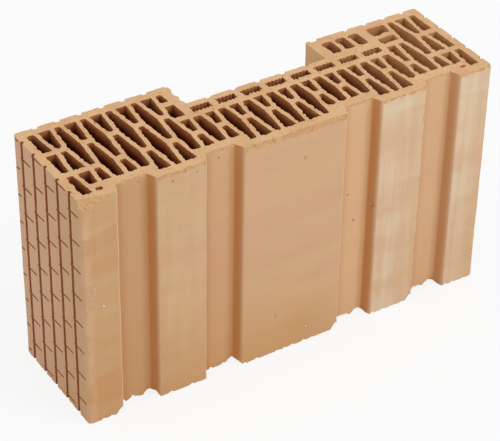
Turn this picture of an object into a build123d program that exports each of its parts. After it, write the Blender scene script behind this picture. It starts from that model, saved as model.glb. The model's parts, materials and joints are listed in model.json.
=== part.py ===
from build123d import *
import os

# Half end block of perforated clay, one fired piece.
# Its section is drawn once and extruded upwards, as the clay leaves the die.
# X runs along the block, Y from the tongued face to the pocket, Z up from the lower bed face.

# Whole block
block_length = 440.0
block_depth = 125.0
block_height = 249.0
left_corner_radius = 3.0
right_corner_radius = 2.0
back_corner_radius = 2.5

# Tongued face: a wide middle tongue, two side tongues and two end tongues
middle_tongue_width = 109.0
end_tongue_width = 36.0
groove_mouth_width = 40.0
groove_floor_width = 30.0
groove_depth = 10.5
tongue_edge_radius = 2.0
groove_root_radius = 3.0

# Pocket in the back face, for a strip of insulation
pocket_left = 62.5
pocket_width = 153.5
pocket_depth = 35.0
left_rim_radius = 5.0
right_rim_radius = 1.5
pocket_root_radius = 0.8

# Walls that the perforation leaves standing
back_shell = 10.0
end_shell = 8.0
tongue_shell = 10.0
groove_shell = 10.5
flank_shell = 7.0
pocket_shell = 10.0
cross_web = 6.75
groove_side_cover = 5.0

# Diamond perforation: columns whose width swells and shrinks along the depth
column_pitch = 13.0
row_pitch = 37.25
belly_width = 12.5
waist_width = 5.0
cell_tip_radius = 2.0
tip_radius_limit_share = 0.4

# Serrated slots between the pocket and the diamond columns
slot_length = 20.0
slot_width = 9.6
slot_pitch = 27.1
slot_start = 9.3
slot_end_wall = 5.0
slot_wall = 6.0
pocket_floor_wall = 6.7
teeth_per_wall = 5
tooth_height = 1.4

# Grip holes beside the pocket, and the two holes between them and the end columns
grip_width = 11.5
grip_pitch = 15.2
grip_taper = 1.5
grip_radius = 3.0
grip_start = 11.0
grip_front_web = 10.2
grip_end_wall = 9.0
corner_hole_offset = 2.0
corner_hole_radius = 2.2
tie_web_rise = 7.75

# Small hole in each end tongue
tongue_hole_width = 6.5
tongue_hole_depth = 4.5
tongue_hole_radius = 1.6
tongue_hole_wall = 7.5

# Plaster keys: narrow notches that run the full height of the outer faces
key_mouth = 6.0
key_floor = 3.4
key_depth = 2.5
key_pitch = 22.35
end_key_mouth = 4.2
end_key_floor = 2.4
end_key_depth = 2.2
end_keys = 5
left_end_key_shift = 2.0
right_end_key_shift = -1.5
left_back_key_start = 21.0
right_back_key_start = 16.0
right_back_keys = 4
rim_key_mouth = 9.0
rim_key_floor = 6.0
rim_key_depth = 3.0
rim_key_start = 8.5

# Places worked out from the sizes above
half_length = block_length / 2
half_depth = block_depth / 2
front = -half_depth
pocket_left_x = -pocket_left
pocket_right_x = pocket_left_x + pocket_width
pocket_floor_y = half_depth - pocket_depth
groove_floor_y = front + groove_depth

outer_groove_x = half_length - end_tongue_width - groove_mouth_width / 2
inner_groove_x = (middle_tongue_width + groove_mouth_width) / 2
groove_places = [-outer_groove_x, -inner_groove_x, inner_groove_x, outer_groove_x]

back_limit = half_depth - back_shell
tongue_limit = front + tongue_shell
groove_limit = groove_floor_y + groove_shell
last_column = int((half_length - end_shell - waist_width / 2) // column_pitch)
web_line = row_pitch / 2

slot_y = pocket_floor_y - pocket_floor_wall - slot_width / 2
band_top = slot_y - slot_width / 2
band_limit = band_top - cross_web
tie_web_y = pocket_floor_y + tie_web_rise

corner_left = (last_column - 4) * column_pitch - corner_hole_offset
first_slot_x = pocket_left_x + slot_start
slot_gap = slot_pitch - slot_length
slot_room = corner_left - slot_end_wall - (first_slot_x - slot_length / 2) + slot_gap
slot_count = int(slot_room // slot_pitch)
slot_places = [(first_slot_x + slot_pitch * n, slot_y) for n in range(slot_count)]
slots_end = slot_places[-1][0] + slot_length / 2
band_end = slots_end + column_pitch / 2
left_leg_limit = pocket_left_x - pocket_shell

grip_left = pocket_right_x + grip_start
grip_front = slot_y + slot_width / 2 + grip_front_web
grip_room = corner_left - grip_end_wall - grip_left + grip_pitch - grip_width
grip_count = int(grip_room // grip_pitch)


def column_half_width(column, y):
    """Half width of a diamond column at depth y: bellies of neighbours alternate."""
    belly_line = web_line if column % 2 == 0 else -web_line
    steps = abs((y - belly_line + row_pitch) % (row_pitch * 2) - row_pitch) / row_pitch
    return (belly_width - (belly_width - waist_width) * steps) / 2


def web_span(y):
    """Lower and upper side of a cross web centred at depth y."""
    return (y - cross_web / 2, y + cross_web / 2)


def open_spans(low, high, webs):
    """Stretches between low and high that the webs leave open."""
    spans = []
    start = low
    for web_low, web_high in sorted(webs):
        if web_high <= low or web_low >= high:
            continue
        spans.append((start, web_low))
        start = web_high
    spans.append((start, high))
    return [(a, b) for a, b in spans if b - a > waist_width]


def column_spans(column):
    """Open stretches of one diamond column, from the tongued face to the back."""
    x = column * column_pitch
    near_end = abs(column) >= last_column - 1
    in_left_leg = x < left_leg_limit
    in_right_leg = column >= last_column - 2
    behind_groove = any(
        abs(x - place) < groove_mouth_width / 2 + groove_side_cover for place in groove_places
    )
    low = groove_limit if behind_groove or abs(column) == last_column - 1 else tongue_limit
    if in_left_leg or in_right_leg:
        high = back_limit
    elif x < band_end:
        high = band_limit
    else:
        high = web_line - cross_web / 2
    webs = [web_span(-web_line if column % 2 == 0 else web_line)]
    if near_end:
        webs = [web_span(-web_line), web_span(web_line)]
    if in_left_leg and x + column_pitch >= left_leg_limit:
        webs += [web_span(tie_web_y), (band_limit, band_top)]
    return open_spans(low, high, webs)


def cell_outline(column, low, high):
    """Corner points and corner radii of one cell of a diamond column: only narrow ends are rounded."""
    x = column * column_pitch
    turns = [web_line + row_pitch * n for n in range(-4, 4)]
    levels = [low] + [y for y in turns if low < y < high] + [high]
    left = [x - column_half_width(column, y) for y in levels]
    right = [x + column_half_width(column, y) for y in levels]
    if column == -last_column:
        left = [end_shell - half_length] * len(levels)
    if column == last_column:
        right = [half_length - end_shell] * len(levels)
    if high > band_limit and x < left_leg_limit:
        right = [min(edge, left_leg_limit) for edge in right]
    if high > band_limit and x >= band_end:
        left = [max(edge, slots_end + slot_wall) for edge in left]
    points = list(zip(right, levels)) + list(zip(left, levels))[::-1]
    radii = [0.0] * len(levels)
    for end in (0, -1):
        width = right[end] - left[end]
        if width < (belly_width + waist_width) / 2:
            radii[end] = min(cell_tip_radius, width * tip_radius_limit_share)
    return points, radii + radii[::-1]


def serrated_outline():
    """Corner points of a slot whose two long walls are rows of teeth."""
    step = slot_length / teeth_per_wall
    wall = [(-slot_length / 2, -slot_width / 2)]
    for tooth in range(teeth_per_wall):
        x = -slot_length / 2 + step * tooth
        wall.append((x + step / 2, tooth_height - slot_width / 2))
        wall.append((x + step, -slot_width / 2))
    return wall + [(-x, -y) for x, y in wall]


def corner_hole_outline(low, high):
    """Corner points of a hole beside the end columns, bounded by the wave of its column."""
    column = last_column - 3
    right = [column * column_pitch + column_half_width(column, y) for y in (low, high)]
    return [(corner_left, low), (right[0], low), (right[1], high), (corner_left, high)]


def rounded_face(points, radii):
    """Closed face with the given corner points and corner radii."""
    with BuildSketch() as face:
        with BuildLine():
            FilletPolyline(*points, radius=radii, close=True)
        make_face()
    return face.sketch


def recess_corners(mouth, floor, depth, x=0, y=0):
    """Corner points of a tapered recess, from its left mouth edge round its floor to the right one."""
    return [
        (x - mouth / 2, y),
        (x - floor / 2, y + depth),
        (x + floor / 2, y + depth),
        (x + mouth / 2, y),
    ]


def plain_face(points):
    """Closed face with the given corner points."""
    with BuildSketch() as face:
        with BuildLine():
            Polyline(*points, close=True)
        make_face()
    return face.sketch


# One groove of the tongued face, drawn at its mouth
groove_sizes = (groove_mouth_width, groove_floor_width, groove_depth)
groove = plain_face(recess_corners(*groove_sizes))

# Key notches, drawn at their mouths in a face that looks towards the back
key = plain_face(recess_corners(key_mouth, key_floor, -key_depth))
end_key = plain_face(recess_corners(end_key_mouth, end_key_floor, -end_key_depth))
rim_key = plain_face(recess_corners(rim_key_mouth, rim_key_floor, -rim_key_depth))

# One serrated slot, drawn about its middle
slot = plain_face(serrated_outline())

# One grip hole, drawn from its front left corner
grip_length = back_limit - grip_front
grip_corners = [(grip_taper, 0), (grip_width, 0), (grip_width, grip_length), (0, grip_length)]
grip_hole = rounded_face(grip_corners, grip_radius)

# The diamond cells, kept clear of the grooves
with BuildSketch() as cells:
    add(
        [
            rounded_face(*cell_outline(column, low, high))
            for column in range(-last_column, last_column + 1)
            for low, high in column_spans(column)
        ]
    )
    with Locations(*[(x, front) for x in groove_places]):
        add(offset(groove, flank_shell, mode=Mode.PRIVATE), mode=Mode.SUBTRACT)

# Every hole of the section
with BuildSketch() as perforation:
    add(cells.sketch)
    with Locations(*slot_places):
        add(slot)
    with Locations(*[(grip_left + grip_pitch * n, grip_front) for n in range(grip_count)]):
        add(grip_hole)
    for low, high in open_spans(web_line + cross_web / 2, back_limit, [web_span(tie_web_y)]):
        add(rounded_face(corner_hole_outline(low, high), corner_hole_radius))
    tongue_hole_x = half_length - end_tongue_width + tongue_hole_wall + tongue_hole_width / 2
    tongue_hole_y = tongue_limit + tongue_hole_depth / 2
    with Locations((-tongue_hole_x, tongue_hole_y), (tongue_hole_x, tongue_hole_y)):
        RectangleRounded(tongue_hole_width, tongue_hole_depth, tongue_hole_radius)

# Corners of the outline with their radii: along the tongued face, then back along the pocket
groove_radii = [tongue_edge_radius, groove_root_radius, groove_root_radius, tongue_edge_radius]
corners = [(-half_length, front)]
corner_radii = [left_corner_radius]
for groove_x in groove_places:
    corners += recess_corners(*groove_sizes, groove_x, front)
    corner_radii += groove_radii
corners += [
    (half_length, front),
    (half_length, half_depth),
    (pocket_right_x, half_depth),
    (pocket_right_x, pocket_floor_y),
    (pocket_left_x, pocket_floor_y),
    (pocket_left_x, half_depth),
    (-half_length, half_depth),
]
corner_radii += [
    right_corner_radius,
    back_corner_radius,
    right_rim_radius,
    pocket_root_radius,
    pocket_root_radius,
    left_rim_radius,
    back_corner_radius,
]

# Outline of the block, with its plaster keys cut in
with BuildSketch() as outline:
    add(rounded_face(corners, corner_radii))

    left_leg = half_length - pocket_left - left_rim_radius - left_back_key_start
    left_back_keys = int(left_leg // key_pitch) + 1
    left_back = [left_back_key_start - half_length + key_pitch * n for n in range(left_back_keys)]
    right_back = [half_length - right_back_key_start - key_pitch * n for n in range(right_back_keys)]
    with Locations(*[(x, half_depth) for x in left_back + right_back]):
        add(key, mode=Mode.SUBTRACT)
    with Locations((pocket_right_x + rim_key_start, half_depth)):
        add(rim_key, mode=Mode.SUBTRACT)

    slot_gaps = [x + slot_pitch / 2 for x, y in slot_places]
    pocket_keys = [x for x in slot_gaps if x < pocket_right_x - slot_pitch / 2]
    with Locations(*[(x, pocket_floor_y) for x in pocket_keys]):
        add(key, mode=Mode.SUBTRACT)

    end_rises = [key_pitch * (n - (end_keys - 1) / 2) for n in range(end_keys)]
    with Locations(*[(-half_length, left_end_key_shift + y) for y in end_rises]):
        add(end_key, rotation=90, mode=Mode.SUBTRACT)
    with Locations(*[(half_length, right_end_key_shift + y) for y in end_rises]):
        add(end_key, rotation=-90, mode=Mode.SUBTRACT)

# The block
with BuildPart() as clay_block:
    with BuildSketch():
        add(outline.sketch)
        add(perforation.sketch, mode=Mode.SUBTRACT)
    extrude(amount=block_height)

clay_block.part.label = "clay_block"
os.makedirs("parts", exist_ok=True)
export_step(clay_block.part, "parts/clay_block.step")
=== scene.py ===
import json
import math

import bmesh
import bpy
from mathutils import Matrix, Vector, noise

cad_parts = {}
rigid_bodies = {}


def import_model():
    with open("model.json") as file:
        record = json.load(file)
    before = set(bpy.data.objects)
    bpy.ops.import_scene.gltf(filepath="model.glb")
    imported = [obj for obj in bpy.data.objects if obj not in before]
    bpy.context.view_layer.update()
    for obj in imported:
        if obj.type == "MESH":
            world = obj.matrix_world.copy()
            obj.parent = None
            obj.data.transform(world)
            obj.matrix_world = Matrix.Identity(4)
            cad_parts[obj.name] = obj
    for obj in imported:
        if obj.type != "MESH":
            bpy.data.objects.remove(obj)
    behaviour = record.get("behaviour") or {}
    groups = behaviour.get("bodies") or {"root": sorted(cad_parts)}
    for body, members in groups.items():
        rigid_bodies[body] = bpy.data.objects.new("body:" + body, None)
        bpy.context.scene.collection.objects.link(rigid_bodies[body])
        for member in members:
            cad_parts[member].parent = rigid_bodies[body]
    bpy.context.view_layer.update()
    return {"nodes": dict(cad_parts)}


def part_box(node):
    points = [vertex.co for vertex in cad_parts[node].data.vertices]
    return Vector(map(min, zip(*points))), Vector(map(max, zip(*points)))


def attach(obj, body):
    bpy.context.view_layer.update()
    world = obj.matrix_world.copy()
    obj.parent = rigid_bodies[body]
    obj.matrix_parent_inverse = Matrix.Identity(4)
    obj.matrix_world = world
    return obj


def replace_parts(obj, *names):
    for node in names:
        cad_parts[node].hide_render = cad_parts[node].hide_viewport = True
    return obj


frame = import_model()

# The block's faces in the frame, in millimetres
MM = 0.001
lowest, highest = (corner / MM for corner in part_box("clay_block"))
LEFT, FRONT, BED = lowest
RIGHT, BACK, TOP = highest
block_height, half_way_up = TOP - BED, (TOP + BED) / 2
corner_width = 12.0

# Tongues and grooves of the front, from left to right
middle_tongue, side_tongue, groove_mouth = 109.0, 49.5, 40.0
groove_floor, groove_slope = -52.0, 5.0
inner_groove = (middle_tongue + groove_mouth) / 2
outer_groove = inner_groove + groove_mouth + side_tongue
groove_middles = (-outer_groove, -inner_groove, inner_groove, outer_groove)
grooves = [(middle - groove_mouth / 2, middle + groove_mouth / 2) for middle in groove_middles]
tongue_sides = [LEFT, *(side for groove in grooves for side in groove), RIGHT]
tongues = list(zip(tongue_sides[::2], tongue_sides[1::2]))

# The insulation pocket in the back
pocket_left, pocket_right, pocket_floor = -62.5, 91.0, 27.5
pocket_width, pocket_middle = pocket_right - pocket_left, (pocket_left + pocket_right) / 2

# Slots of the block's finishes
SKIN, BEDS, BORES, KEYS = range(4)

# How finely the walls and beds are divided, so that edges can crumble
merge_distance, flat_angle, smooth_angle = 0.01, math.radians(0.2), math.radians(40)
rim_step, skin_step = 1.65, 15.0
rim_rings, rim_drops, bed_rise = (1.1, 0.8), (1.6, 3.2, 6.0), 9.0

# Crumbled rims of the holes, and the slow swell of the outer walls
coarse_crumbs = {"grain": 5.5, "depth": 1.3, "level": 0.55, "contrast": 2.0}
fine_crumbs = {"grain": 2.2, "depth": 1.5, "contrast": 1.6}
slow_swell = {"grain": 45.0, "depth": 0.8, "level": 0.65}
rim_reach, swell_reach = 4.2, 12.0
skin_rim_share, first_ring_share, bed_share = 0.4, 0.5, 0.15

# Upper edge of the tongued face: how far it crumbled on all tongues but the first, and in the grooves
tongue_top_wear, groove_top_wear = (3.5, 6.0, 2.6, 2.4), (2.0, 3.0, 2.0, 1.6)
rod_offset, top_bite, rod_clearance, right_corner_clearance = 4.0, 0.7, 1.0, 9.0
rod_sides, rod_step, most_rod_cuts = 12, 1.8, 100
rod_crumbs = {"grain": 6.5, "depth": 2.8}

# Lower edge of the tongued face: middle, half width and height of each bite, and the ragged line between
bed_bites = (
    (-183.0, 8.0, 6.5), (-151.0, 7.0, 5.0), (-60.5, 7.0, 4.5), (56.0, 9.0, 7.0), (68.0, 8.0, 3.0),
    (85.0, 7.0, 5.0), (145.5, 8.0, 6.0), (159.0, 8.0, 3.0), (173.5, 8.0, 5.5), (-168.0, 8.0, 3.0),
)
bed_rag, bed_grain, bite_reach = 4.0, 4.5, 9.0

# The corner that broke off: three points of the break, and the rough block that takes the corner away
# These points and the groove floor are typed, because the cuts are sensitive to the frame's rounding
chip_foot = Vector((-222.0, -63.5, 235.0))
chip_right = Vector((-177.0, -63.5, 250.0))
chip_rear = Vector((-222.0, -55.0, 250.5))
chip_size, chip_cuts = 60.0, 40
chip_crumbs = {"grain": 4.0, "depth": 2.2}

# Pits and small breaks: place, half sizes and roughness
pits = (
    ((-200.5, FRONT - 0.4, 131.0), (2.2, 1.6, 2.2), 0.8),
    ((17.5, FRONT - 0.4, 17.0), (2.0, 1.4, 1.8), 0.8),
    ((-18.0, FRONT - 0.3, 43.0), (1.7, 1.2, 1.7), 0.8),
    ((92.0, -57.5, 131.0), (3.0, 2.6, 3.2), 1.2),
    ((75.0, groove_floor, 116.0), (1.3, 1.2, 1.6), 0.6),
    ((67.0, groove_floor, 148.0), (1.2, 1.1, 1.3), 0.6),
    ((10.0, FRONT, 216.0), (1.2, 0.9, 2.2), 0.6),
    ((-129.0, FRONT, 240.0), (1.0, 1.0, 2.0), 0.6),
    ((-104.0, FRONT, 241.5), (1.2, 0.9, 1.0), 0.6),
    ((-76.0, groove_floor, 240.0), (1.1, 1.0, 1.5), 0.6),
    ((-157.0, groove_floor, 243.0), (0.9, 0.9, 1.1), 0.5),
    ((pocket_left, 48.0, TOP), (2.2, 6.0, 5.0), 1.6),
    ((pocket_left, 36.0, TOP), (1.6, 4.0, 4.0), 1.6),
    ((RIGHT, FRONT - 1.0, TOP + 1.0), (7.0, 4.5, 4.5), 2.0),
)

# Grains of lime in the first two pits: place, half sizes and roughness
lime_lumps = (
    ((-200.5, FRONT + 0.6, 131.0), (1.2, 0.9, 1.1), 0.5),
    ((17.5, FRONT + 0.5, 17.0), (1.0, 0.8, 0.9), 0.5),
)

# Keying grooves, and the strokes that were scored across them
end_key_depth, back_key_depth, rim_key_depth, key_margin = 2.2, 2.5, 3.0, 0.2
key_pitch, keys_per_end, pocket_margin = 22.35, 5, 2.0
end_key_middles = {LEFT: 2.0, RIGHT: -1.5}
stroke_back_reach, stroke_front_reach = 4.0, 16.0
stroke_height, stroke_depth, stroke_rise = 2.2, 1.1, 1.2
stroke_pitch, stroke_start, overrun = 30.0, 6.0, 0.6
stroke_bottom_shares = (1, 0.92, 0.15)

# Where the colours of the skin set in: a span runs from where there is none of one to where there is all
front_span = (FRONT + 2.0, FRONT + 0.5)
inside_corners_span = (RIGHT - corner_width, RIGHT - corner_width - 2.0)
ochre_span, ochre_wander, ochre_fade_span = (70.0, -90.0), 160.0, (0.0, 60.0)
shade_span, left_tongues_span, first_tongue_span = (-90.0, -190.0), (-90.0, -98.0), (-150.0, -190.0)
straw_rise_span, straw_spread_span = (10.0, 120.0), (-190.0, -145.0)
right_tongues_span, last_tongue_span, last_foot_span = (90.0, 98.0), (160.0, 180.0), (120.0, 90.0)
fourth_smear_span, fourth_end_span, last_smear_span = (112.0, 142.0), (170.0, 160.0), (192.0, 216.0)
top_smear_span, top_smear_slant, top_smear_wander = (TOP - 3.0, TOP + 1.0), 0.1, 6.0
crack_place, crack_wander, crack_span = 141.5, 4.0, (0.9, 0.3)
end_span, end_depth_span = (RIGHT - 8.0, RIGHT - 4.0), (FRONT + 2.5, BACK - 12.5)
left_corner_span, corner_wander = (LEFT + 17.0, LEFT + 11.0), 10.0
corner_depth_span, flaked_span = (FRONT + 7.5, FRONT + 2.5), (RIGHT - 17.0, RIGHT - 11.0)
behind_floor_span, behind_front_span = (groove_floor + 2.0, groove_floor + 1.0), (FRONT + 0.3, FRONT + 3.5)
floor_width_span = (groove_mouth / 2 - 3.0, groove_mouth / 2 - 5.0)
floor_depth_span, floor_side_span = (groove_floor - 3.0, groove_floor - 1.0), (6.0, 15.5)
floor_rise_span, floor_fall_span, left_floor_span = (-150.0, 60.0), (120.0, 150.0), (20.0, -60.0)
flank_depth_span, right_flank_span = (FRONT + 6.5, FRONT + 1.5), (150.0, 175.0)
groove_edge_span = (FRONT + 3.5, FRONT + 1.5)
pocket_depth_span = (pocket_floor - 1.5, pocket_floor + 2.5)
pocket_width_span = (pocket_width / 2 + 5.25, pocket_width / 2 + 1.25)

# Browner patches that were wiped aslant over the first tongue: bottom, top and strength
first_tongue_wipes = ((172.0, 220.0, 0.2), (86.0, 98.0, 0.15), (22.0, 58.0, 0.28))
wipe_wander, wipe_slant, wipe_middle, wipe_start, wipe_end = 12.0, 0.25, LEFT + 20.0, 6.0, 1.5

# Where painted shade darkens the walls of the holes, from the rim inwards and towards the left, and the
# keys of the ends
bore_span, bore_wander, bore_side_span = (2.5, 18.0), 6.0, (60.0, 170.0)
back_keys_span = (RIGHT - 5.0, RIGHT - 8.0)

# Where the camera of the photograph stood
camera_azimuth, camera_elevation, camera_roll = -32.769, 35.854, 1.025
camera_aim, camera_distance = Vector((-9.3, -1.5, 115.5)), 1855.4
focal_pixels, picture_width = 1945.7, 500
sensor_width = 36.0

# The studio, in metres: floor and surround, then each lamp's name, place, size and power
floor_size, floor_grey, floor_glow, fill_strength = 12.0, 0.82, 0.84, 0.64
lamp_aim = Vector((0, 0, 0.12))
lamps = (
    ("key_lamp", (1.3, -1.9, 2.1), 1.6, 32),
    ("top_lamp", (-0.4, 0.3, 2.4), 1.8, 8),
    ("left_lamp", (-2.1, -0.8, 1.3), 1.6, 4),
)


class Value:
    """A shader value that works in sums. Each sum adds its Math nodes."""

    def __init__(self, finish, socket):
        self.finish, self.socket = finish, socket

    def sum(self, operation, *terms):
        return self.finish.node("ShaderNodeMath", {"operation": operation}, dict(enumerate(terms)))

    def __add__(self, other):
        return self.sum("ADD", self, other)

    def __sub__(self, other):
        return self.sum("SUBTRACT", self, other)

    def __rsub__(self, other):
        return self.sum("SUBTRACT", other, self)

    def __mul__(self, other):
        return self.sum("MULTIPLY", self, other)

    def __abs__(self):
        return self.sum("ABSOLUTE", self)

    __radd__, __rmul__ = __add__, __mul__


class Finish:
    """The nodes of one material, or of the world."""

    def __init__(self, owner):
        owner.use_nodes = True
        self.owner, self.tree = owner, owner.node_tree
        self.tree.nodes.clear()

    def node(self, kind, settings=None, inputs=None, output=0):
        """Adds a node, sets it, fills its sockets and gives one of its outputs."""
        node = self.tree.nodes.new(kind)
        for name, value in (settings or {}).items():
            setattr(node, name, value)
        for name, value in (inputs or {}).items():
            if isinstance(value, Value):
                self.tree.links.new(value.socket, node.inputs[name])
            else:
                node.inputs[name].default_value = value
        return Value(self, node.outputs[output]) if node.outputs else None

    def place(self):
        """Where a point lies on the block, in millimetres."""
        metres = self.node("ShaderNodeTexCoord", output="Object")
        return self.node("ShaderNodeVectorMath", {"operation": "SCALE"}, {0: metres, "Scale": 1 / MM})

    def facing(self):
        return self.node("ShaderNodeNewGeometry", output="Normal")

    def split(self, vector):
        return [self.node("ShaderNodeSeparateXYZ", {}, {0: vector}, axis) for axis in "XYZ"]

    def stretch(self, place, along):
        """Shrinks places along the axes, so that a pattern on them is drawn out there."""
        return self.node("ShaderNodeVectorMath", {"operation": "MULTIPLY"}, {0: place, 1: along})

    def noise(self, place, grain, detail=2.0, roughness=0.5):
        """Soft, cloudy changes between 0 and 1, with a grain in millimetres."""
        sockets = {"Vector": place, "Scale": 1 / grain, "Detail": detail, "Roughness": roughness}
        return self.node("ShaderNodeTexNoise", {}, sockets)

    def ramp(self, value, start, end):
        """0 before start and 1 after end, with a soft change between them."""
        sockets = {"Value": value, "From Min": start, "From Max": end}
        return self.node("ShaderNodeMapRange", {"interpolation_type": "SMOOTHSTEP"}, sockets)

    def mix(self, share, first, second):
        """The first colour, with a share of the second over it."""
        settings = {"data_type": "RGBA", "blend_type": "MIX", "clamp_factor": True}
        return self.node("ShaderNodeMix", settings, {0: share, 6: first, 7: second}, 2)

    def bump(self, height, distance, strength, normal=None):
        """Raises the surface, for light only, by a height between 0 and 1 times a distance."""
        sockets = {"Height": height, "Distance": distance * MM, "Strength": strength}
        if normal:
            sockets["Normal"] = normal
        return self.node("ShaderNodeBump", {}, sockets)

    def surface(self, colour, roughness, normal, gloss=0.25):
        """Ends the material in a matt, slightly sandy clay."""
        sockets = {
            "Base Color": colour, "Roughness": roughness, "Normal": normal, "Specular IOR Level": gloss
        }
        shader = self.node("ShaderNodeBsdfPrincipled", {}, sockets)
        self.node("ShaderNodeOutputMaterial", {}, {"Surface": shader})
        return self.owner


def paint(red, green, blue):
    """A colour as a screen shows it, turned into the light it sends back."""
    def light(level):
        share = level / 255
        return share / 12.92 if share <= 0.04045 else ((share + 0.055) / 1.055) ** 2.4

    return (light(red), light(green), light(blue), 1.0)


# Colours of the fired clay: skin, grooves, beds, holes, keys, strokes and breaks, with painted light and
# shade among them
tan, pink, ochre = paint(211, 172, 132), paint(210, 166, 132), paint(203, 156, 106)
pale, shade_and_wipe_tan, straw = paint(222, 198, 168), paint(196, 155, 108), paint(216, 186, 142)
end_pink, brown, ember = paint(220, 176, 146), paint(178, 114, 64), paint(150, 84, 50)
# Painted light in a lighter orange for groove floors and pocket; painted shade in a browner orange for
# flanks, which also colours wipes and a crack.
painted_light_orange, shade_and_mark_orange = paint(229, 185, 139), paint(194, 131, 75)
ground_light, ground_dark = paint(219, 177, 133), paint(211, 167, 122)
# Painted shade of the holes: rim and deep colours, darker on the left
shaded_left_rim, lit_right_rim = paint(186, 120, 74), paint(206, 150, 102)
left_bore_shade, right_bore_shade = paint(98, 20, 5), paint(188, 138, 88)
key_dark, key_light, back_key = paint(150, 86, 54), paint(178, 110, 72), paint(198, 144, 100)
score_dark, score_light = paint(140, 86, 54), paint(164, 106, 70)
torn_dark, torn_light = paint(192, 142, 96), paint(212, 168, 122)

# Colours of the lime and of the light
lime_white, lime_cream = paint(246, 240, 228), paint(226, 208, 184)
white = (1.0, 1.0, 1.0, 1.0)


def drawn_skin(finish, place):
    """Soft bands of tan and pink, turning to ochre lower down, with painted shade that darkens them
    towards the left.
    """
    x, _, z = finish.split(place)
    bands = finish.noise(finish.stretch(place, (0.12, 0.3, 1.0)), 24.0, 3.0)
    patches = finish.noise(finish.stretch(place, (0.5, 0.5, 1.0)), 70.0)
    low_down = finish.ramp(z - ochre_wander * patches, *ochre_span)
    colour = finish.mix(finish.ramp(bands, 0.36, 0.64), tan, pink)
    colour = finish.mix(low_down * (0.95 - 0.6 * finish.ramp(x, *ochre_fade_span)), colour, ochre)
    # Painted shade: the skin darkens towards the left, away from the key lamp.
    return finish.mix(finish.ramp(x, *shade_span) * 0.6, colour, shade_and_wipe_tan)


def wiped_tongues(finish, place, on_front, colour):
    """Wipe marks: straw and brown on the left tongues, pale smears and a fine crack on the right ones."""
    x, _, z = finish.split(place)
    streaks = finish.noise(finish.stretch(place, (1.0, 1.0, 0.05)), 7.0)
    wipes = finish.noise(finish.stretch(place, (0.3, 1.0, 1.0)), 26.0, 3.0)
    blots = finish.noise(finish.stretch(place, (0.5, 1.0, 1.0)), 20.0, 4.0)
    rubs = streaks * 0.4 + wipes * 0.6
    on_left = finish.ramp(x, *left_tongues_span) * on_front
    on_first = finish.ramp(x, *first_tongue_span) * on_left
    on_right = finish.ramp(x, *right_tongues_span) * on_front

    colour = finish.mix(on_front * finish.ramp(wipes, 0.5, 0.66) * 0.2, colour, shade_and_wipe_tan)
    straws = finish.ramp(rubs, 0.38, 0.64) * finish.ramp(z, *straw_rise_span)
    colour = finish.mix(on_left * straws * (0.2 + 0.3 * finish.ramp(x, *straw_spread_span)), colour, straw)
    colour = finish.mix(on_first * finish.ramp(blots, 0.44, 0.58) * 0.5, colour, ochre)
    aslant = z + wipe_wander * wipes - wipe_slant * (x - wipe_middle)
    for bottom, top, share in first_tongue_wipes:
        above = finish.ramp(aslant, bottom - wipe_start, bottom + wipe_start)
        below = finish.ramp(aslant, top + wipe_end, top - wipe_end)
        colour = finish.mix(on_first * above * below * share, colour, shade_and_mark_orange)

    on_fourth = finish.ramp(x, *fourth_smear_span) * finish.ramp(x, *fourth_end_span)
    across = on_fourth + finish.ramp(x, *last_smear_span)
    last_foot = finish.ramp(x, *last_tongue_span) * finish.ramp(z, *last_foot_span)
    smears = 0.26 + 0.5 * finish.ramp(rubs, 0.4, 0.62)
    smears = smears * (1.15 - 0.45 * across) * (1.0 - 0.3 * last_foot)
    at_top = finish.ramp(z + top_smear_slant * x + top_smear_wander * wipes, *top_smear_span)
    colour = finish.mix(on_right * (smears + 0.3 * at_top), colour, pale)

    to_crack = abs(x - crack_place - crack_wander * finish.noise(place, 5.0, 3.0))
    crack = finish.ramp(to_crack, *crack_span) * finish.ramp(blots, 0.42, 0.52)
    return finish.mix(on_front * crack * 0.8, colour, shade_and_mark_orange)


def rubbed_ends(finish, place, face_x, on_front, colour):
    """Pinker ends and left corner, and small flakes beside both front corners with painted shade in orange
    between them. Gives the flakes too.
    """
    x, y, _ = finish.split(place)
    ends = finish.ramp(abs(face_x), 0.6, 0.9) * finish.ramp(abs(x), *end_span)
    colour = finish.mix(ends * (0.15 + 0.55 * finish.ramp(y, *end_depth_span)), colour, end_pink)

    rubbed = finish.noise(finish.stretch(place, (0.4, 0.4, 1.0)), 26.0)
    left_corner = finish.ramp(x + corner_wander * rubbed, *left_corner_span)
    left_corner = left_corner * finish.ramp(y, *corner_depth_span)
    colour = finish.mix(left_corner * (0.1 + 0.35 * finish.ramp(rubbed, 0.42, 0.56)), colour, end_pink)

    crumbs = finish.noise(place, 2.8, 3.0)
    flaked = on_front * finish.ramp(abs(x), *flaked_span) * finish.ramp(rubbed, 0.5, 0.42)
    flakes = flaked * finish.ramp(crumbs, 0.54, 0.64)
    # Painted shade: orange where the crumbs sink between the raised flakes.
    colour = finish.mix(flaked * finish.ramp(crumbs, 0.48, 0.38) * 0.15, colour, shade_and_mark_orange)
    return finish.mix(flakes * 0.35, colour, pale), flakes


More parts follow.
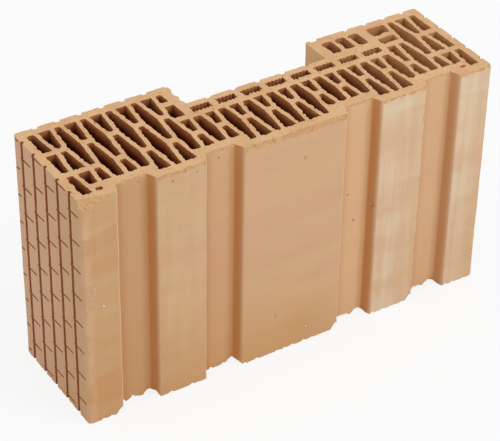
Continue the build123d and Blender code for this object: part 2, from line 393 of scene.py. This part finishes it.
def groove_light_and_shade(finish, place, face_x, turned, colour):
    """Grooves: floors painted lighter, painted shade that browns the floors on the left and at their sides
    and browns the flanks over their own smeared clay, and pale edges as a painted highlight.
    """
    x, y, _ = finish.split(place)
    to_groove = abs(abs(abs(x) - (outer_groove + inner_groove) / 2) - (outer_groove - inner_groove) / 2)
    inside_corners = finish.ramp(abs(x), *inside_corners_span)
    in_groove = finish.ramp(y, *behind_floor_span) * finish.ramp(y, *behind_front_span) * inside_corners
    floors = in_groove * finish.ramp(to_groove, *floor_width_span) * finish.ramp(y, *floor_depth_span)

    # Painted light: the groove floors are painted lighter, more so towards the right where the key lamp
    # stands.
    light_share = 0.05 + 0.45 * finish.ramp(x, *floor_rise_span) - 0.2 * finish.ramp(x, *floor_fall_span)
    colour = finish.mix(floors * light_share, colour, painted_light_orange)
    # Painted shade: the floors brown towards the left and towards their sides, where they meet the flanks.
    floor_shade_share = 0.14 * finish.ramp(x, *left_floor_span) + 0.35 * finish.ramp(to_groove, *floor_side_span)
    colour = finish.mix(floors * floor_shade_share, colour, shade_and_mark_orange)
    # Painted shade over the clay's own smeared orange: the flanks brown, most deep in the groove and least
    # in the last groove.
    flank_shade_share = 0.9 - 0.25 * finish.ramp(y, *flank_depth_span) - 0.25 * finish.ramp(x, *right_flank_span)
    colour = finish.mix(in_groove * turned * flank_shade_share, colour, shade_and_mark_orange)
    # Painted highlight: the rounded edges of the tongues are painted pale, most where they face right
    # towards the key lamp.
    edges = finish.ramp(abs(face_x), 0.12, 0.5) * finish.ramp(y, *groove_edge_span) * inside_corners
    return finish.mix(edges * (0.2 + 0.6 * finish.ramp(face_x, 0.1, 0.3)), colour, pale)


def outer_clay():
    """The drawn skin of the block: wiped in soft bands, paler on the right, with painted shade that
    darkens the left and browns the grooves, and painted light on the groove floors and in the pocket.
    """
    finish = Finish(bpy.data.materials.new("outer_clay"))
    place = finish.place()
    x, y, _ = finish.split(place)
    face_x, _, _ = finish.split(finish.facing())
    turned = finish.ramp(abs(face_x), 0.25, 0.85)
    on_front = finish.ramp(y, *front_span) * (1.0 - turned)

    colour = drawn_skin(finish, place)
    colour = wiped_tongues(finish, place, on_front, colour)
    colour, flakes = rubbed_ends(finish, place, face_x, on_front, colour)
    colour = groove_light_and_shade(finish, place, face_x, turned, colour)
    # Painted light: the side walls of the pocket, which stand in shade, are painted lighter.
    in_pocket = finish.ramp(y, *pocket_depth_span)
    in_pocket = in_pocket * finish.ramp(abs(x - pocket_middle), *pocket_width_span)
    colour = finish.mix(in_pocket * 0.6, colour, painted_light_orange)

    sand = finish.noise(place, 1.6)
    lines = finish.noise(finish.stretch(place, (0.08, 0.2, 1.0)), 3.0)
    colour = finish.mix(on_front * finish.ramp(lines, 0.5, 0.8) * 0.05, colour, pale)
    colour = finish.mix(finish.ramp(sand, 0.64, 0.76) * 0.16, colour, brown)
    normal = finish.bump(flakes, 0.5, 0.7)
    normal = finish.bump(lines, 0.12, 0.12, normal)
    normal = finish.bump(finish.noise(place, 0.9, 3.0), 0.16, 0.4, normal)
    return finish.surface(colour, 0.76 + 0.15 * sand, normal)


def ground_clay():
    """The two beds, ground flat: even, pale and open-grained."""
    finish = Finish(bpy.data.materials.new("ground_clay"))
    place = finish.place()
    grain = finish.noise(place, 1.4, 3.0, 0.6)
    pores = finish.noise(place, 2.6)
    clouds = finish.ramp(finish.noise(place, 26.0, 3.0), 0.35, 0.65)
    colour = finish.mix(clouds, ground_light, ground_dark)
    colour = finish.mix(finish.ramp(pores, 0.62, 0.74) * 0.5, colour, brown)
    colour = finish.mix(finish.ramp(grain, 0.6, 0.75) * 0.4, colour, pale)
    normal = finish.bump(grain, 0.4, 0.6)
    normal = finish.bump(1.0 - finish.ramp(pores, 0.6, 0.78), 0.6, 0.7, normal)
    return finish.surface(colour, 0.86 + 0.1 * grain, normal)


def bore_clay():
    """Walls of the holes: drawn smooth along the height, with painted shade that makes them darker the
    deeper they lie and towards the left.
    """
    finish = Finish(bpy.data.materials.new("bore_clay"))
    place = finish.place()
    x, _, z = finish.split(place)
    depth = block_height / 2 - abs(z - half_way_up)
    drag = finish.noise(finish.stretch(place, (1.0, 1.0, 0.05)), 2.4)
    mottle = finish.noise(place, 12.0, 3.0)
    # Painted shade: the walls go from the rim colour to a dark red deep down, darker towards the left,
    # away from the key lamp.
    lit_side = finish.ramp(x, *bore_side_span)
    rim = finish.mix(lit_side, shaded_left_rim, lit_right_rim)
    deep_shade = finish.mix(lit_side, left_bore_shade, right_bore_shade)
    colour = finish.mix(finish.ramp(depth + bore_wander * mottle, *bore_span), rim, deep_shade)
    colour = finish.mix(finish.ramp(drag, 0.5, 0.75) * 0.3, colour, ember)
    normal = finish.bump(drag, 0.5, 0.5)
    normal = finish.bump(finish.noise(place, 1.2, 3.0), 0.3, 0.5, normal)
    return finish.surface(colour, 0.8 + 0.15 * mottle, normal, gloss=0.03)


def key_clay():
    """Keying grooves, cut when the clay was wet: rough and brown, partly the clay's own dark red and
    partly painted shade, darkest on the ends.
    """
    finish = Finish(bpy.data.materials.new("key_clay"))
    place = finish.place()
    x, _, _ = finish.split(place)
    torn = finish.noise(finish.stretch(place, (1.0, 1.0, 0.4)), 2.2, 3.0, 0.6)
    # Painted shade with the clay's own dark red: the keying grooves are dark brown, lighter in the wide
    # grooves of the back.
    colour = finish.mix(finish.ramp(torn, 0.35, 0.7), key_dark, key_light)
    colour = finish.mix(finish.ramp(abs(x), *back_keys_span) * 0.6, colour, back_key)
    return finish.surface(colour, 0.85 + 0.1 * torn, finish.bump(torn, 0.8, 0.8))


def torn_clay():
    """Fresh breaks at edges and corners: open, crumbly clay."""
    finish = Finish(bpy.data.materials.new("torn_clay"))
    place = finish.place()
    crumbs = finish.noise(place, 1.9, 4.0, 0.65)
    colour = finish.mix(finish.ramp(crumbs, 0.3, 0.6), torn_dark, torn_light)
    colour = finish.mix(finish.ramp(finish.noise(place, 3.0, 3.0), 0.6, 0.7) * 0.3, colour, ember)
    return finish.surface(colour, 0.9 + 0.08 * crumbs, finish.bump(crumbs, 0.6, 0.8))


def score_clay():
    """Bottoms of the scored strokes."""
    finish = Finish(bpy.data.materials.new("score_clay"))
    torn = finish.noise(finish.place(), 1.5, 3.0)
    colour = finish.mix(finish.ramp(torn, 0.3, 0.7), score_dark, score_light)
    return finish.surface(colour, 0.85 + 0.1 * torn, finish.bump(torn, 0.4, 0.6))


def lime():
    """White grains of lime that burst to the surface."""
    finish = Finish(bpy.data.materials.new("lime"))
    grit = finish.noise(finish.place(), 0.8)
    colour = finish.mix(finish.ramp(grit, 0.35, 0.7), lime_white, lime_cream)
    return finish.surface(colour, 0.75 + 0.2 * grit, finish.bump(grit, 0.3, 0.6))


def work_on(piece):
    """Makes a piece the only one selected, in object mode."""
    if bpy.context.object and bpy.context.object.mode != "OBJECT":
        bpy.ops.object.mode_set(mode="OBJECT")
    bpy.ops.object.select_all(action="DESELECT")
    piece.select_set(True)
    bpy.context.view_layer.objects.active = piece


def select(piece, kind, test):
    """Selects, in edit mode, the vertices, edges or faces that pass a test."""
    bpy.ops.mesh.select_mode(type={"verts": "VERT", "edges": "EDGE", "faces": "FACE"}[kind])
    bpy.ops.mesh.select_all(action="DESELECT")
    mesh = bmesh.from_edit_mesh(piece.data)
    for element in getattr(mesh, kind):
        if test(element):
            element.select_set(True)
    bmesh.update_edit_mesh(piece.data)


def is_wall(face):
    return abs(face.normal.z) < 0.5


def is_bed(face):
    return not is_wall(face)


def start_block():
    """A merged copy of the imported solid, with each wall as one face from bed to top, in edit mode."""
    mesh = frame["nodes"]["clay_block"].data.copy()
    mesh.materials.clear()
    piece = bpy.data.objects.new("fired_block", mesh)
    bpy.context.scene.collection.objects.link(piece)
    work_on(piece)
    bpy.ops.mesh.customdata_custom_splitnormals_clear()
    bpy.ops.object.mode_set(mode="EDIT")
    bpy.ops.mesh.select_all(action="SELECT")
    bpy.ops.mesh.remove_doubles(threshold=merge_distance * MM)
    select(piece, "faces", is_wall)
    bpy.ops.mesh.dissolve_limited(angle_limit=flat_angle)
    return piece


def select_skin(piece):
    """Selects the walls on the outside of the block and leaves those of the holes."""
    select(piece, "faces", is_bed)
    bpy.ops.mesh.hide(unselected=False)
    mesh = bmesh.from_edit_mesh(piece.data)
    walls = (face for face in mesh.faces if not face.hide)
    min(walls, key=lambda face: face.calc_center_median().x).select_set(True)
    bmesh.update_edit_mesh(piece.data)
    bpy.ops.mesh.select_linked()
    bpy.ops.mesh.reveal(select=False)


def divide_walls(piece):
    """Divides the walls along the rims, then at heights near top and bed, and the outer walls all over."""
    def cuts_of(edge):
        upright = abs(edge.verts[0].co.z - edge.verts[1].co.z) > MM
        on_wall = any(is_wall(face) for face in edge.link_faces)
        return 0 if upright or not on_wall else math.ceil(edge.calc_length() / (rim_step * MM)) - 1

    def cut_at(height):
        bpy.ops.mesh.bisect(plane_co=(0, 0, height * MM), plane_no=(0, 0, 1))

    mesh = bmesh.from_edit_mesh(piece.data)
    for cuts in sorted({cuts_of(edge) for edge in mesh.edges} - {0}):
        select(piece, "edges", lambda edge: cuts_of(edge) == cuts)
        bpy.ops.mesh.subdivide(number_cuts=cuts)
    for height in [TOP - drop for drop in rim_drops] + [BED + bed_rise]:
        bpy.ops.mesh.select_all(action="SELECT")
        cut_at(height)
    courses = math.ceil(block_height / skin_step)
    for n in range(1, courses):
        select_skin(piece)
        cut_at(BED + n * block_height / courses)


def ring_beds(piece):
    """Draws rings on the beds round every rim."""
    select(piece, "faces", is_bed)
    for width in rim_rings:
        bpy.ops.mesh.inset(thickness=width * MM, use_boundary=True)


def in_key(face):
    """True for the faces of a keying groove, in the ends, the back and the pocket."""
    x, y, _ = face.calc_center_median() / MM

    def sunk(depth, deepest):
        return key_margin < depth < deepest + key_margin

    beside_pocket = pocket_left - corner_width < x < pocket_right + corner_width / 4
    over_pocket_floor = pocket_left + pocket_margin < x < pocket_right - pocket_margin
    at_end = sunk(RIGHT - abs(x), end_key_depth) and abs(y) < BACK - corner_width
    at_back = sunk(BACK - y, rim_key_depth) and abs(x) < RIGHT - corner_width and not beside_pocket
    in_pocket = sunk(pocket_floor - y, back_key_depth) and over_pocket_floor
    return is_wall(face) and (at_end or at_back or in_pocket)


def dress(piece, finishes):
    """Gives skin, beds, holes and keying grooves their own finish."""
    for finish in finishes:
        piece.data.materials.append(finish)

    def assign(slot):
        piece.active_material_index = slot
        bpy.ops.object.material_slot_assign()

    bpy.ops.mesh.select_all(action="SELECT")
    assign(BORES)
    select_skin(piece)
    skin = {face.index for face in bmesh.from_edit_mesh(piece.data).faces if face.select}
    assign(SKIN)
    select(piece, "faces", is_bed)
    assign(BEDS)
    select(piece, "faces", lambda face: face.index in skin and in_key(face))
    assign(KEYS)


def weigh(piece, name, weight_of):
    """Makes a group of vertices, each with a weight of its own."""
    group = piece.vertex_groups.new(name=name)
    for vertex in piece.data.vertices:
        weight = weight_of(vertex)
        if weight > 0:
            group.add([vertex.index], weight, "REPLACE")
    return group.name


def roughen(piece, grain, depth, level=0.5, contrast=1.0, group=""):
    """Moves the surface in and out by clouds of a given grain, and keeps the result."""
    clouds = bpy.data.textures.new(f"{piece.name}_grain", type="CLOUDS")
    clouds.noise_scale, clouds.noise_depth, clouds.contrast = grain * MM, 2, contrast
    modifier = piece.modifiers.new("roughen", "DISPLACE")
    modifier.texture, modifier.texture_coords = clouds, "LOCAL"
    modifier.strength, modifier.mid_level = depth * MM, level
    modifier.vertex_group = group
    work_on(piece)
    bpy.ops.object.modifier_apply(modifier=modifier.name)


def cut_away(piece, cutter, finish):
    """Takes the cutter's shape out of the piece. The new faces get the given finish."""
    cutter.data.materials.clear()
    cutter.data.materials.append(finish)
    modifier = piece.modifiers.new("cut", "BOOLEAN")
    modifier.operation, modifier.solver, modifier.object = "DIFFERENCE", "EXACT", cutter
    modifier.material_mode = "TRANSFER"
    work_on(piece)
    bpy.ops.object.modifier_apply(modifier=modifier.name)
    bpy.data.objects.remove(cutter)


def joined(pieces):
    """Several pieces as one."""
    work_on(pieces[0])
    for piece in pieces:
        piece.select_set(True)
    bpy.ops.object.join()
    return bpy.context.object


def crumbled(piece):
    """Wears the rims of all holes and edges, and lets the outer walls swell a little."""
    bores, skin = set(), set()
    for face in piece.data.polygons:
        if face.material_index == BORES:
            bores.update(face.vertices)
        elif face.material_index in (SKIN, KEYS):
            skin.update(face.vertices)
    pairs = [set(edge.vertices) for edge in piece.data.edges]
    first_ring = {vertex for pair in pairs if pair & bores for vertex in pair} - bores - skin

    def drop_of(vertex):
        height = vertex.co.z / MM
        return min(TOP - height, height - BED)

    def rim_weight(vertex):
        fade = max(0.0, 1 - drop_of(vertex) / rim_reach)
        if vertex.index in bores:
            return fade
        if vertex.index in skin:
            return skin_rim_share * fade
        return first_ring_share if vertex.index in first_ring else bed_share

    def swell_weight(vertex):
        return min(1.0, drop_of(vertex) / swell_reach) if vertex.index in skin else 0.0

    rims, walls = weigh(piece, "rims", rim_weight), weigh(piece, "skin", swell_weight)
    roughen(piece, **coarse_crumbs, group=rims)
    roughen(piece, **fine_crumbs, group=rims)
    roughen(piece, **slow_swell, group=walls)
    piece.vertex_groups.clear()


def ground_flat(piece):
    """Levels both beds, so that nothing of the rough rims stands out of them."""
    bpy.ops.object.mode_set(mode="EDIT")
    for height, outward in ((TOP, 1), (BED, -1)):
        select(piece, "verts", lambda vertex: (vertex.co.z / MM - height) * outward > 0)
        bpy.ops.transform.resize(value=(1, 1, 0), center_override=(0, 0, height * MM))
    bpy.ops.object.mode_set(mode="OBJECT")


def bitten(piece):
    """Lifts the lower edge of the tongued face where clay broke off."""
    tallest = bed_rag + max(height for _, _, height in bed_bites)

    def lift_share(vertex):
        x, y, z = vertex.co / MM
        on_tongue = any(left <= x <= right for left, right in tongues)
        behind = y - (FRONT if on_tongue else groove_floor)
        if z > BED + bed_rise / 3 or behind > bite_reach:
            return 0.0
        bite = max(height * (1 - ((x - middle) / half) ** 2) for middle, half, height in bed_bites)
        ragged = bed_rag * noise.noise(Vector((x / bed_grain, 0, 0)))
        return (max(0.0, bite) + max(0.0, ragged)) / tallest * min(1.0, 1 - behind / bite_reach)

    modifier = piece.modifiers.new("lift", "DISPLACE")
    modifier.vertex_group, modifier.direction = weigh(piece, "bites", lift_share), "Z"
    modifier.strength, modifier.mid_level = tallest * MM, 0.0
    work_on(piece)
    bpy.ops.object.modifier_apply(modifier=modifier.name)
    piece.vertex_groups.clear()


def score_stroke(end, key_y):
    """One slightly rising stroke, scored across a keying groove of an end and narrow at its bottom."""
    outward = math.copysign(1, end)
    start = min(key_y + stroke_back_reach, BACK - overrun)
    length = start - (key_y - stroke_front_reach)
    depth = stroke_depth + overrun
    bpy.ops.mesh.primitive_cube_add(size=MM)
    stroke = bpy.context.object
    stroke.scale = (depth, length, stroke_height)
    stroke.rotation_euler.x = -math.asin(stroke_rise / length)
    bpy.ops.object.transform_apply(location=False, rotation=True, scale=True)
    bpy.ops.object.mode_set(mode="EDIT")
    select(stroke, "faces", lambda face: face.normal.x * outward < -0.9)
    bpy.ops.transform.resize(value=stroke_bottom_shares)
    bpy.ops.object.mode_set(mode="OBJECT")
    stroke.location = Vector((end + outward * (overrun - depth / 2), start - length / 2, 0)) * MM
    return stroke


def strokes_of(end):
    """All strokes of one end: every other groove has its strokes half a pitch higher."""
    made = []
    for n in range(keys_per_end + 1):
        key_y = end_key_middles[end] + key_pitch * (n - (keys_per_end - 1) / 2)
        stroke = score_stroke(end, key_y)
        first = stroke_start + stroke_pitch / 2 * ((n + 1) % 2)
        stroke.location.z = first * MM
        bpy.ops.object.transform_apply(location=True, rotation=False, scale=False)
        rows = stroke.modifiers.new("rows", "ARRAY")
        rows.use_relative_offset, rows.use_constant_offset = False, True
        rows.constant_offset_displace = (0, 0, stroke_pitch * MM)
        rows.count = math.floor((TOP - stroke_height - first) / stroke_pitch) + 1
        bpy.ops.object.modifier_apply(modifier=rows.name)
        made.append(stroke)
    return joined(made)


def crumble_rod(left, right, face, height):
    """A rough rod along the upper edge of a face, which takes away what crumbled off there."""
    length = right - left
    place = Vector(((left + right) / 2, face - rod_offset, TOP)) * MM
    bpy.ops.mesh.primitive_cylinder_add(
        vertices=rod_sides, radius=MM, depth=length * MM, location=place, rotation=(0, math.pi / 2, 0)
    )
    rod = bpy.context.object
    bpy.ops.object.transform_apply(location=False, rotation=True, scale=False)
    rod.scale = (1, rod_offset + top_bite, height * 2)
    bpy.ops.object.transform_apply(location=True, rotation=False, scale=True)
    bpy.ops.object.mode_set(mode="EDIT")
    select(rod, "edges", lambda edge: edge.calc_length() > 0.9 * length * MM)
    bpy.ops.mesh.subdivide(number_cuts=min(most_rod_cuts, round(length / rod_step)))
    bpy.ops.object.mode_set(mode="OBJECT")
    roughen(rod, **rod_crumbs)
    return rod


def edge_wear():
    """What crumbled off the upper edge of the tongued face."""
    lost = []
    for (left, right), height in zip(tongues[1:], tongue_top_wear):
        end = min(right - rod_clearance, RIGHT - right_corner_clearance)
        lost.append(crumble_rod(left + rod_clearance, end, FRONT, height))
    for (left, right), height in zip(grooves, groove_top_wear):
        lost.append(crumble_rod(left + groove_slope, right - groove_slope, groove_floor, height))
    return joined(lost)


def rough_ball(place, size, depth):
    """A lump that leaves a pit, or a grain, at a place on the block."""
    bpy.ops.mesh.primitive_ico_sphere_add(subdivisions=2, radius=MM, location=Vector(place) * MM)
    ball = bpy.context.object
    ball.scale = size
    bpy.ops.object.transform_apply(location=True, rotation=True, scale=True)
    roughen(ball, min(size), depth)
    return ball


def corner_chip():
    """The corner that broke off at the top of the left tongue."""
    out = (chip_right - chip_foot).cross(chip_rear - chip_foot).normalized()
    middle = (chip_foot + chip_right + chip_rear) / 3 + out * chip_size / 2
    turn = out.to_track_quat("Z", "Y").to_euler()
    bpy.ops.mesh.primitive_cube_add(size=chip_size * MM, location=middle * MM, rotation=turn)
    chip = bpy.context.object
    bpy.ops.object.transform_apply(location=True, rotation=True, scale=True)
    bpy.ops.object.mode_set(mode="EDIT")
    bpy.ops.mesh.subdivide(number_cuts=chip_cuts)
    bpy.ops.object.mode_set(mode="OBJECT")
    roughen(chip, **chip_crumbs)
    return chip


def main_block():
    """The block itself: divided, dressed, scored, chipped, worn and ground."""
    finishes = [outer_clay(), ground_clay(), bore_clay(), key_clay()]
    torn, score = torn_clay(), score_clay()
    block = start_block()
    divide_walls(block)
    ring_beds(block)
    dress(block, finishes)
    bpy.ops.object.mode_set(mode="OBJECT")

    for end in (LEFT, RIGHT):
        cut_away(block, strokes_of(end), score)
    cut_away(block, joined([corner_chip(), *(rough_ball(*pit) for pit in pits)]), torn)
    cut_away(block, edge_wear(), torn)
    crumbled(block)
    ground_flat(block)
    bitten(block)
    bpy.ops.object.shade_smooth_by_angle(angle=smooth_angle)
    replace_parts(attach(block, "root"), "clay_block")


def lime_grains():
    """Two grains of lime, each in its pit."""
    grains = joined([rough_ball(*lump) for lump in lime_lumps])
    grains.name = "lime_grains"
    grains.data.materials.append(lime())
    bpy.ops.object.shade_smooth()
    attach(grains, "root")


def camera():
    """Stands where the photograph was taken, turned by the photograph's slight roll."""
    azimuth, elevation, roll = map(math.radians, (camera_azimuth, camera_elevation, camera_roll))
    level = Vector((math.sin(azimuth), -math.cos(azimuth), 0))
    back = math.cos(elevation) * level + math.sin(elevation) * Vector((0, 0, 1))
    right = Vector((math.cos(azimuth), math.sin(azimuth), 0))
    side = math.cos(roll) * right + math.sin(roll) * back.cross(right)
    turn = Matrix((side, back.cross(side), back)).transposed().to_4x4()
    bpy.ops.object.camera_add()
    eye = bpy.context.object
    eye.matrix_world = Matrix.Translation((camera_aim + camera_distance * back) * MM) @ turn
    eye.data.sensor_fit, eye.data.sensor_width = "HORIZONTAL", sensor_width
    eye.data.lens = focal_pixels / picture_width * sensor_width
    bpy.context.scene.camera = eye


def seen_directly(finish):
    """1 for what the camera sees, also in gloss or through glass, and 0 for light on the block."""
    to_camera, in_gloss, through_glass = (
        finish.node("ShaderNodeLightPath", output=f"Is {kind} Ray")
        for kind in ("Camera", "Glossy", "Transmission")
    )
    return finish.ramp(to_camera + in_gloss + through_glass, 0.0, 1.0)


def pale_floor():
    """A pale floor that keeps a soft shadow."""
    bpy.ops.mesh.primitive_plane_add(size=floor_size)
    floor = bpy.context.object
    floor.name = "floor"
    finish = Finish(bpy.data.materials.new("floor"))
    matt = finish.node("ShaderNodeBsdfDiffuse", {}, {"Color": (floor_grey, floor_grey, floor_grey, 1)})
    glow = finish.node("ShaderNodeEmission", {}, {"Color": white, "Strength": 1.0})
    share = seen_directly(finish) * floor_glow
    shader = finish.node("ShaderNodeMixShader", {}, {0: share, 1: matt, 2: glow})
    finish.node("ShaderNodeOutputMaterial", {}, {"Surface": shader})
    floor.data.materials.append(finish.owner)


def surround():
    """White all round where it is seen, and a softer fill of light on the block."""
    world = bpy.data.worlds.new("surround")
    bpy.context.scene.world = world
    finish = Finish(world)
    fill = finish.node("ShaderNodeBackground", {}, {"Color": white, "Strength": fill_strength})
    seen = finish.node("ShaderNodeBackground", {}, {"Color": white, "Strength": 1.0})
    shader = finish.node("ShaderNodeMixShader", {}, {0: seen_directly(finish), 1: fill, 2: seen})
    finish.node("ShaderNodeOutputWorld", {}, {"Surface": shader})


def lamp(name, place, size, power):
    """A soft square lamp that looks at the block."""
    bpy.ops.object.light_add(type="AREA", location=place)
    light = bpy.context.object
    light.name = name
    light.data.size, light.data.energy = size, power
    light.rotation_euler = (light.location - lamp_aim).to_track_quat("Z", "Y").to_euler()


bpy.ops.object.select_all(action="DESELECT")
main_block()
lime_grains()
camera()
pale_floor()
surround()
for each in lamps:
    lamp(*each)
bpy.context.scene.view_settings.view_transform = "Standard"
